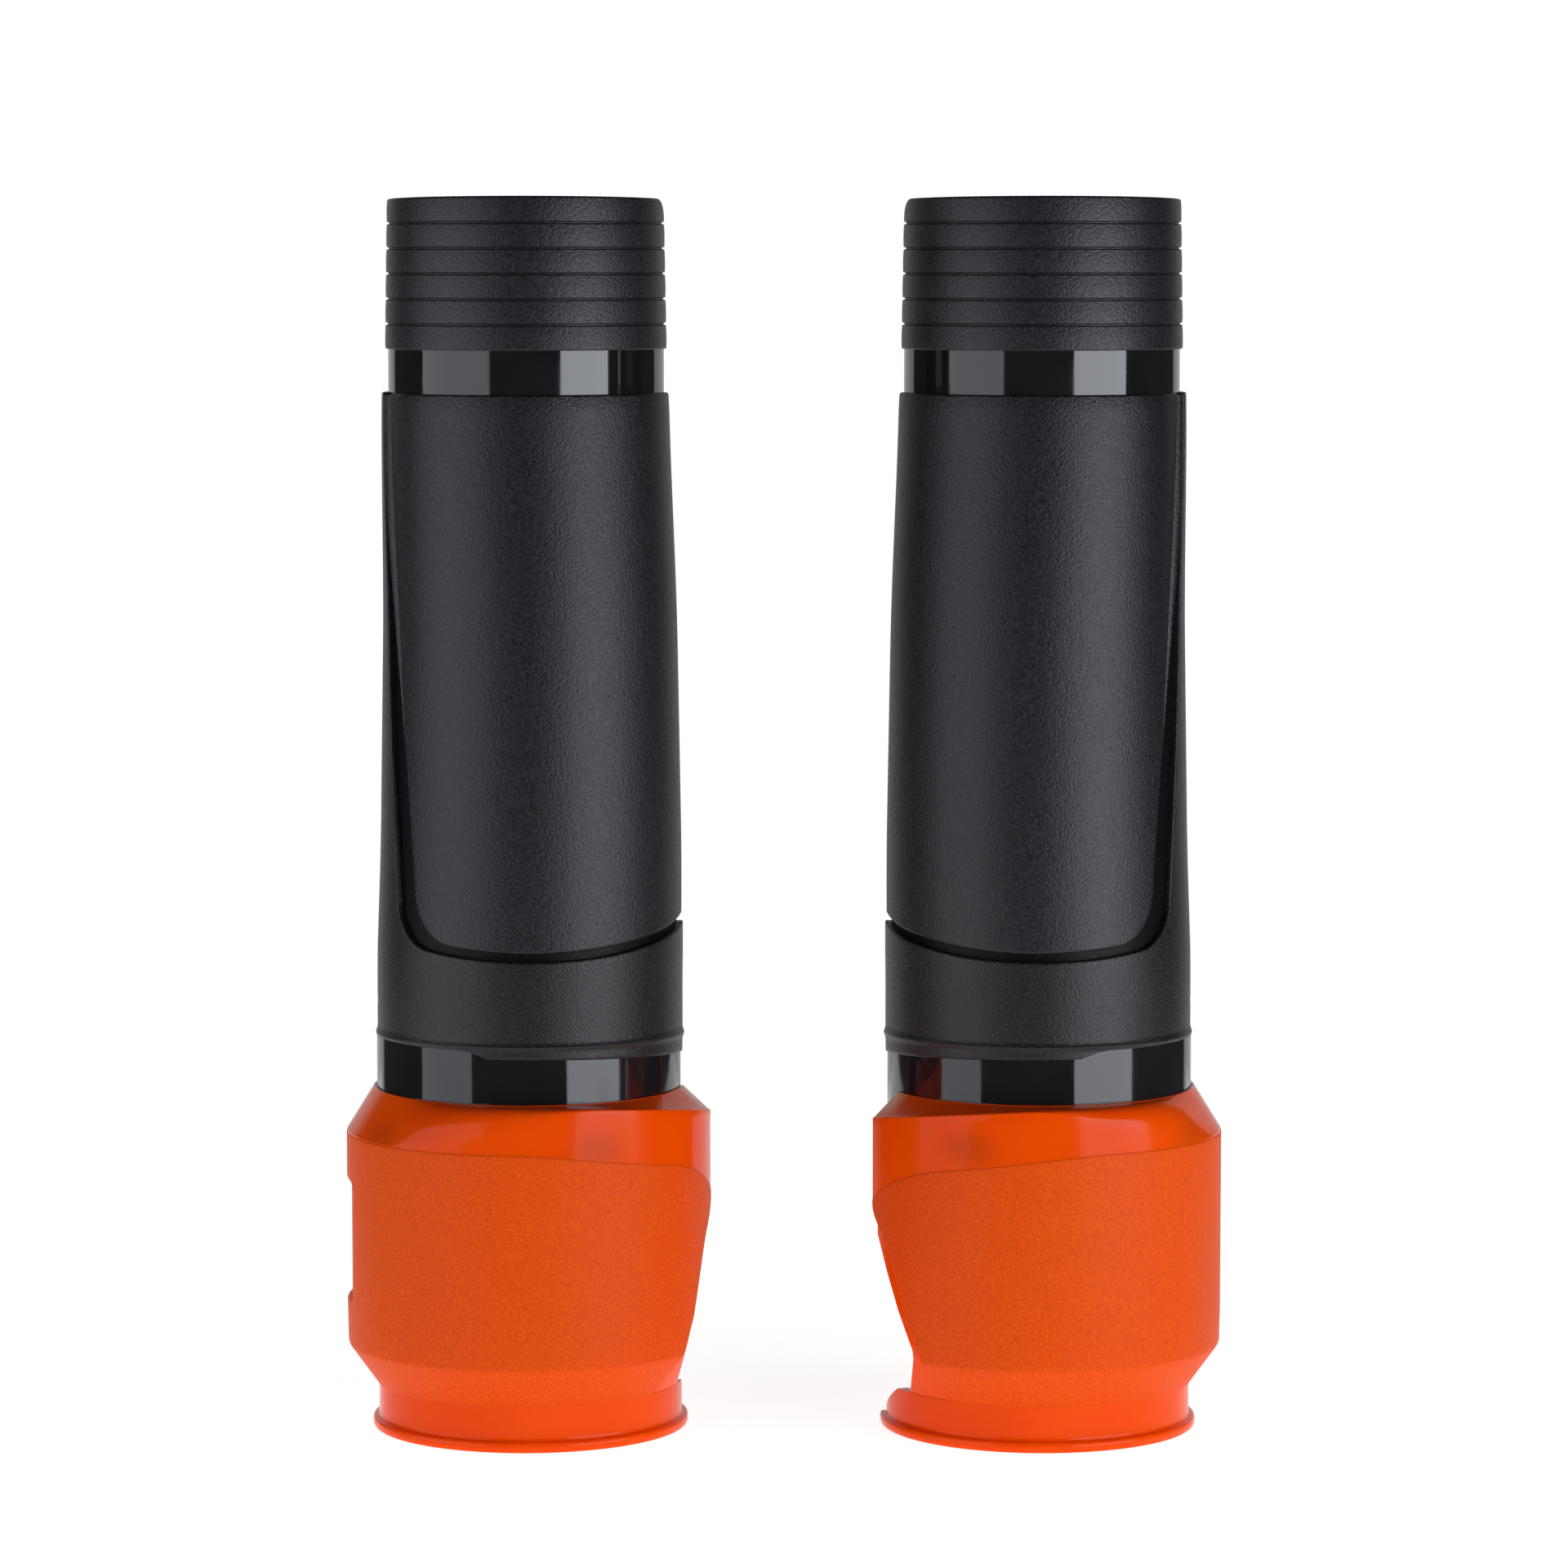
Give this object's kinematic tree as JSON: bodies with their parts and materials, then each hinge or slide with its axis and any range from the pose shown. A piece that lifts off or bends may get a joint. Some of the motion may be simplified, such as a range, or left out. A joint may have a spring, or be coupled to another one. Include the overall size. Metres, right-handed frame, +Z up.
{
  "type": "fork tube protector pair",
  "caption": "Mirrored pair of split sleeves that snap round a motorcycle fork's outer tubes, each with a ribbed cuff, a framed side panel and a loose flared guard turning at its foot.",
  "frame": {"origin": "on the ground plane, midway between the two leg axes", "axes": "+Z up along the fork legs, +X from the left protector's leg axis to the right one's, -Y towards the protectors' fronts"},
  "size_m": [0.201, 0.084, 0.2813],
  "materials": {
    "black_gloss": "polished, smooth",
    "cuff_matte": "fine spark-eroded grain",
    "panel_matte": "fine spark-eroded grain",
    "frame_matte": "fine spark-eroded grain",
    "pad_rubber": "soft cellular rubber",
    "orange_gloss": "polished, slightly translucent",
    "orange_matte": "fine spark-eroded grain"
  },
  "bodies": {
    "left_sleeve": {"left_core_sleeve": "black_gloss", "left_ribbed_cuff": "cuff_matte", "left_side_panel": "panel_matte", "left_shield_frame": "frame_matte", "left_shield_bead": "frame_matte", "left_snap_lugs": "black_gloss", "left_middle_pad": "pad_rubber", "left_foot_pad": "pad_rubber"},
    "left_guard": {"left_guard_shell": "orange_gloss", "left_guard_skirt": "orange_matte", "left_guard_lip": "orange_gloss"},
    "right_sleeve": {"right_core_sleeve": "black_gloss", "right_ribbed_cuff": "cuff_matte", "right_side_panel": "panel_matte", "right_shield_frame": "frame_matte", "right_shield_bead": "frame_matte", "right_snap_lugs": "black_gloss", "right_middle_pad": "pad_rubber", "right_foot_pad": "pad_rubber"},
    "right_guard": {"right_guard_shell": "orange_gloss", "right_guard_skirt": "orange_matte", "right_guard_lip": "orange_gloss"}
  },
  "joints": [
    {"name": "left_guard_turn", "type": "hinge", "parent": "left_sleeve", "child": "left_guard", "pos_m": [-0.0585, 0, 0], "axis": [0, 0, -1], "range_deg": [-7, 23]},
    {"name": "leg_spacing", "type": "slide", "parent": "left_sleeve", "child": "right_sleeve", "axis": [1, 0, 0], "range_m": [-0.012, 0.09]},
    {"name": "right_guard_turn", "type": "hinge", "parent": "right_sleeve", "child": "right_guard", "pos_m": [0.0585, 0, 0], "axis": [0, 0, 1], "range_deg": [-25, 5]}
  ]
}
